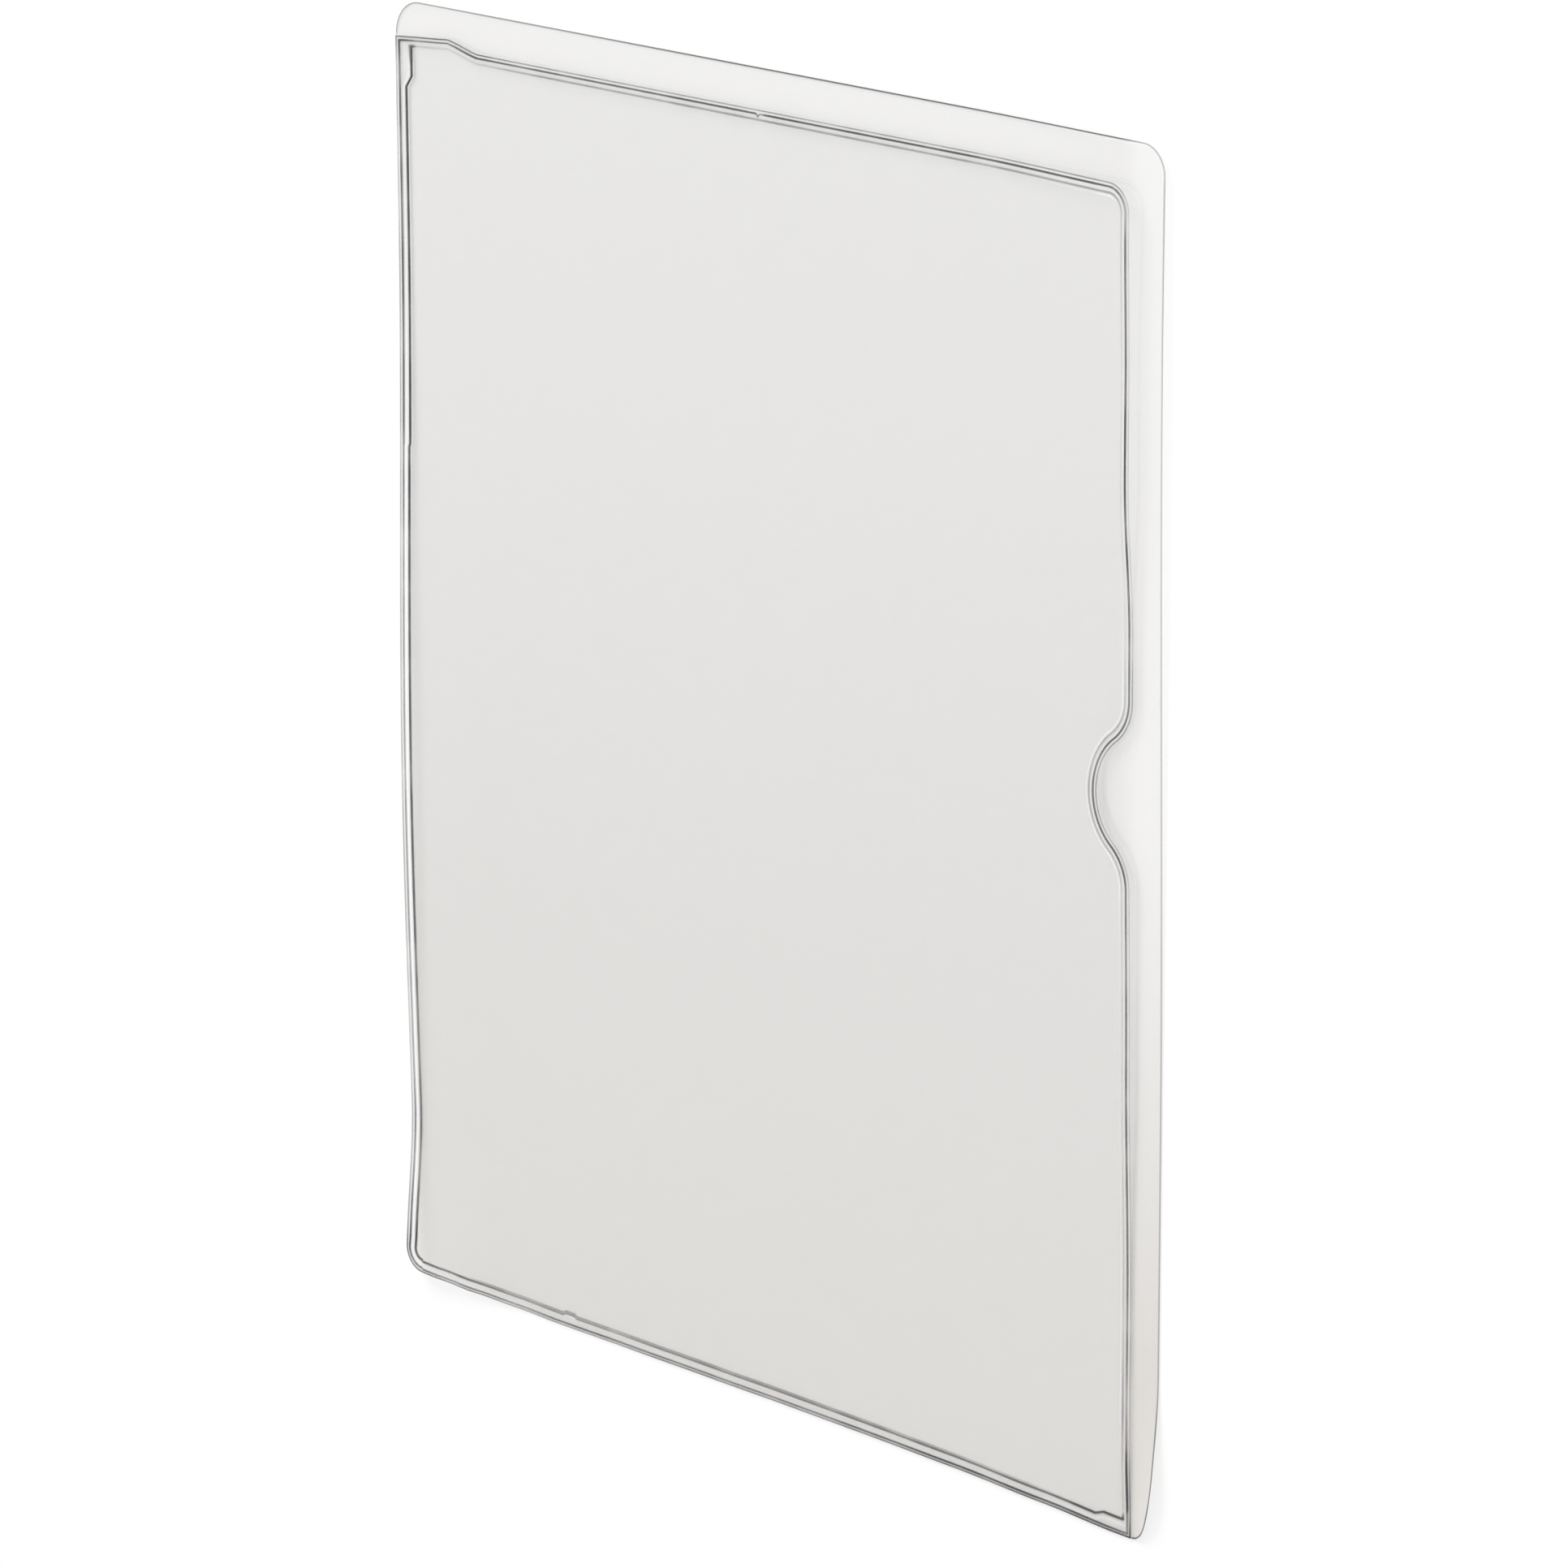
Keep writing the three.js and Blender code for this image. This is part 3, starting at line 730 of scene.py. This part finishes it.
def addToolLines(tree, place, filmColour, filmAlpha):
    away = {}
    for label in ("fromEdge", "fromOuter", "fromInner"):
        away[label] = addNode(tree, "ShaderNodeAttribute", attribute_name=label).outputs["Fac"]
    lineShade = addNode(tree, "ShaderNodeAttribute", attribute_name="shadeLines")
    dark = addNode(tree, "ShaderNodeSeparateColor", {"Color": lineShade.outputs["Color"]}).outputs
    glint = addNode(tree, "ShaderNodeAttribute", attribute_name="glintLines")
    bright = addNode(tree, "ShaderNodeSeparateColor", {"Color": glint.outputs["Color"]}).outputs
    main, minor, band = vinyl["mainHalfWidth"], vinyl["minorHalfWidth"], vinyl["bandHalfWidth"]
    # Dark lines along the cut edge and the real weld beads; their darkness is painted shade
    shadeMask = strongest(tree, [
        maskOf(tree, away["fromEdge"], vinyl["edgeShadeAt"], minor, dark[0]),
        maskOf(tree, away["fromOuter"], 0.0, minor, dark[1]),
        maskOf(tree, away["fromInner"], 0.0, main, dark[2]),
        maskOf(tree, away["fromInner"], vinyl["faintShadeAt"], minor, lineShade.outputs["Alpha"]),
    ])
    # Bright flanks and bands beside the weld lines: painted highlights
    glintMask = strongest(tree, [
        maskOf(tree, away["fromOuter"], vinyl["outerGlintAt"], minor, bright[0]),
        maskOf(tree, away["fromInner"], vinyl["bandGlintAt"], band, bright[1]),
        maskOf(tree, away["fromInner"], vinyl["flankGlintAt"], minor, bright[2]),
    ])
    # Noise breaks up the painted shade lines
    values = {"Vector": place, "Scale": vinyl["breakupScale"], "Detail": 0.0}
    breakupNoise = addNode(tree, "ShaderNodeTexNoise", values)
    noiseLow, noiseHigh = vinyl["breakupNoiseEnds"]
    least, most = vinyl["breakupRange"]
    ranges = {"Value": breakupNoise.outputs["Fac"], "From Min": noiseLow, "From Max": noiseHigh}
    ranges.update({"To Min": least, "To Max": most})
    unbroken = addNode(tree, "ShaderNodeMapRange", ranges).outputs["Result"]
    shadeMask = calc(tree, "MULTIPLY", shadeMask, unbroken, clamp=True)
    # the painted highlight colour takes over along the bright flanks
    glintShare = calc(tree, "MULTIPLY", glintMask, vinyl["lineCover"], clamp=True)
    colours = {0: glintShare, 6: filmColour, 7: vinyl["glintColour"]}
    light = addNode(tree, "ShaderNodeMix", colours, data_type="RGBA")
    # the painted shade colour takes over along the dark lines
    shadeShare = calc(tree, "MULTIPLY", shadeMask, vinyl["lineCover"], clamp=True)
    colours = {0: shadeShare, 6: light.outputs[2], 7: vinyl["lineShadeColour"]}
    colour = addNode(tree, "ShaderNodeMix", colours, data_type="RGBA")
    glintAlpha = calc(tree, "MULTIPLY", glintMask, vinyl["glintAlpha"])
    alpha = strongest(tree, [filmAlpha, shadeMask, glintAlpha])
    return colour.outputs[2], alpha


# The flange beside the pocket is painted darker at the bottom (painted shade) and lighter higher up
# (painted light)
def addFlangePaintedShade(tree, place, filmAlpha):
    across = addNode(tree, "ShaderNodeSeparateXYZ", {"Vector": place}).outputs
    fadeStart = (frontRight - vinyl["flangeShareFade"]) * mm
    ranges = {"Value": across["X"], "From Min": fadeStart, "From Max": frontRight * mm}
    beside = addNode(tree, "ShaderNodeMapRange", ranges).outputs["Result"]
    low, high = vinyl["flangePaintedShade"]
    start, end = [(bottom + vinyl[key]) * mm for key in ("flangeShareFrom", "flangeShareTo")]
    ranges = {"Value": across["Y"], "From Min": start, "From Max": end}
    ranges.update({"To Min": low - 1, "To Max": high - 1})
    more = addNode(tree, "ShaderNodeMapRange", ranges).outputs["Result"]
    share = calc(tree, "ADD", calc(tree, "MULTIPLY", beside, more), 1.0)
    return calc(tree, "MULTIPLY", filmAlpha, share)


def makeVinyl(name, lines, alphas):
    material = bpy.data.materials.new(name)
    material.use_nodes = True
    tree = material.node_tree
    tree.nodes.clear()
    place = addNode(tree, "ShaderNodeTexCoord").outputs["Object"]
    # The film is painted darker and warmer towards the bottom: painted shade
    upward = addNode(tree, "ShaderNodeSeparateXYZ", {"Vector": place}).outputs["Y"]
    ranges = {"Value": upward, "From Min": bottom * mm, "From Max": top * mm}
    height = addNode(tree, "ShaderNodeMapRange", ranges).outputs["Result"]
    ranges = {"Value": height, "To Min": alphas[0], "To Max": alphas[1]}
    filmAlpha = addNode(tree, "ShaderNodeMapRange", ranges).outputs["Result"]
    if lines == "edge":
        filmAlpha = addFlangePaintedShade(tree, place, filmAlpha)
    colours = {0: height, 6: vinyl["filmColour"], 7: vinyl["filmColourAtTop"]}
    filmColour = addNode(tree, "ShaderNodeMix", colours, data_type="RGBA").outputs[2]
    film = addNode(tree, "ShaderNodeBsdfPrincipled")
    film.inputs["Roughness"].default_value = vinyl["roughness"]
    film.inputs["IOR"].default_value = vinyl["ior"]
    if lines == "edge":
        colour, alpha = addEdgeLine(tree, filmColour, filmAlpha)
    else:
        colour, alpha = addToolLines(tree, place, filmColour, filmAlpha)
    tree.links.new(colour, film.inputs["Base Color"])
    tree.links.new(alpha, film.inputs["Alpha"])
    gloss = addNode(tree, "ShaderNodeBsdfGlossy")
    gloss.inputs["Roughness"].default_value = vinyl["roughness"]
    fresnel = addNode(tree, "ShaderNodeFresnel")
    fresnel.inputs["IOR"].default_value = vinyl["ior"]
    behind = addNode(tree, "ShaderNodeNewGeometry").outputs["Backfacing"]
    mirror = calc(tree, "MULTIPLY", fresnel.outputs["Fac"], calc(tree, "SUBTRACT", 1.0, behind))
    surface = addNode(tree, "ShaderNodeMixShader", {0: mirror, 1: film.outputs[0], 2: gloss.outputs[0]})
    output = addNode(tree, "ShaderNodeOutputMaterial")
    tree.links.new(surface.outputs[0], output.inputs["Surface"])
    return material


def makeUnderside(name):
    material = bpy.data.materials.new(name)
    material.use_nodes = True
    film = material.node_tree.nodes["Principled BSDF"]
    film.inputs["Base Color"].default_value = vinyl["filmColourAtTop"]
    film.inputs["Roughness"].default_value = vinyl["roughness"]
    film.inputs["IOR"].default_value = vinyl["ior"]
    film.inputs["Alpha"].default_value = vinyl["undersideAlpha"]
    return material


def dress(film, materials, node):
    film.data.materials.clear()
    for material in materials:
        film.data.materials.append(material)
    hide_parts(node)
    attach(film, "root")
    print(f"{film.name}: {len(film.data.polygons)} faces, in place of {node}")


backTopFace = makeVinyl("backVinyl", "edge", vinyl["backAlpha"])
frontTopFace = makeVinyl("frontVinyl", "tool", vinyl["frontAlpha"])
underside = makeUnderside("vinylUnderside")
backFilm = buildFilm("backFilm", backOutline(), backLift, False)
frontFilm = buildFilm("frontFilm", frontOutline(), frontLift, True)
dress(backFilm, [backTopFace, underside], "back_sheet")
dress(frontFilm, [frontTopFace, underside], "front_sheet")

# Camera at the photograph's viewing angle
camera = {
    "place": (1.194557, 0.441923, 1.091957),
    "turn": (-15.770, 47.371, -0.339),  # degrees
    "lens": 178.28,
    "sensor": 36.0,
}


def setCamera():
    data = bpy.data.cameras.new("camera")
    data.lens = camera["lens"]
    data.sensor_width = camera["sensor"]
    eye = bpy.data.objects.new("camera", data)
    bpy.context.scene.collection.objects.link(eye)
    eye.location = camera["place"]
    eye.rotation_euler = [math.radians(angle) for angle in camera["turn"]]
    bpy.context.scene.camera = eye
    print("camera is set")


studio = {
    "floorColour": (0.95, 0.95, 0.95, 1),
    "floorSize": 12.0,
    "floorDrop": 0.0002,  # keeps the floor clear of the film that lies on it
    "floorGlow": 0.5,  # share of the floor that the camera sees as plain white
    "worldStrength": 0.84,
    "keyPower": 20.0,
    "keyPlace": (-0.5, 1.5, 1.0),
    "keySize": 0.9,
}


def setStudio():
    bpy.ops.object.select_all(action="DESELECT")
    bpy.ops.mesh.primitive_plane_add(size=studio["floorSize"], location=(0, 0, -studio["floorDrop"]))
    floor = bpy.context.object
    floor.name = "floor"
    material = bpy.data.materials.new("paleFloor")
    material.use_nodes = True
    tree = material.node_tree
    tree.nodes.remove(tree.nodes["Principled BSDF"])
    shader = addNode(tree, "ShaderNodeBsdfDiffuse")
    shader.inputs["Color"].default_value = studio["floorColour"]
    path = addNode(tree, "ShaderNodeLightPath")
    glow = calc(tree, "MULTIPLY", path.outputs["Is Camera Ray"], studio["floorGlow"])
    white = addNode(tree, "ShaderNodeEmission")
    surface = addNode(tree, "ShaderNodeMixShader", {0: glow, 1: shader.outputs[0], 2: white.outputs[0]})
    tree.links.new(surface.outputs[0], tree.nodes["Material Output"].inputs["Surface"])
    material.cycles.emission_sampling = "NONE"  # the glow is for the camera and lights nothing
    floor.data.materials.append(material)
    world = bpy.data.worlds.new("studio")
    bpy.context.scene.world = world
    world.use_nodes = True
    tree = world.node_tree
    back = tree.nodes["Background"]
    back.inputs["Color"].default_value = (1, 1, 1, 1)
    path = addNode(tree, "ShaderNodeLightPath")
    seen = calc(tree, "MAXIMUM", path.outputs["Is Camera Ray"], path.outputs["Is Transmission Ray"])
    seen = calc(tree, "MAXIMUM", seen, path.outputs["Is Glossy Ray"])
    ranges = {"Value": seen, "To Min": studio["worldStrength"], "To Max": 1.0}
    strength = addNode(tree, "ShaderNodeMapRange", ranges)
    tree.links.new(strength.outputs["Result"], back.inputs["Strength"])
    lamp = bpy.data.lights.new("keyLamp", "AREA")
    lamp.energy = studio["keyPower"]
    lamp.size = studio["keySize"]
    key = bpy.data.objects.new("keyLamp", lamp)
    bpy.context.scene.collection.objects.link(key)
    key.location = studio["keyPlace"]
    key.rotation_euler = (-Vector(studio["keyPlace"])).to_track_quat("-Z", "Y").to_euler()
    print("floor, world and lamps are set")


setCamera()
setStudio()
bpy.context.scene.view_settings.view_transform = "Standard"
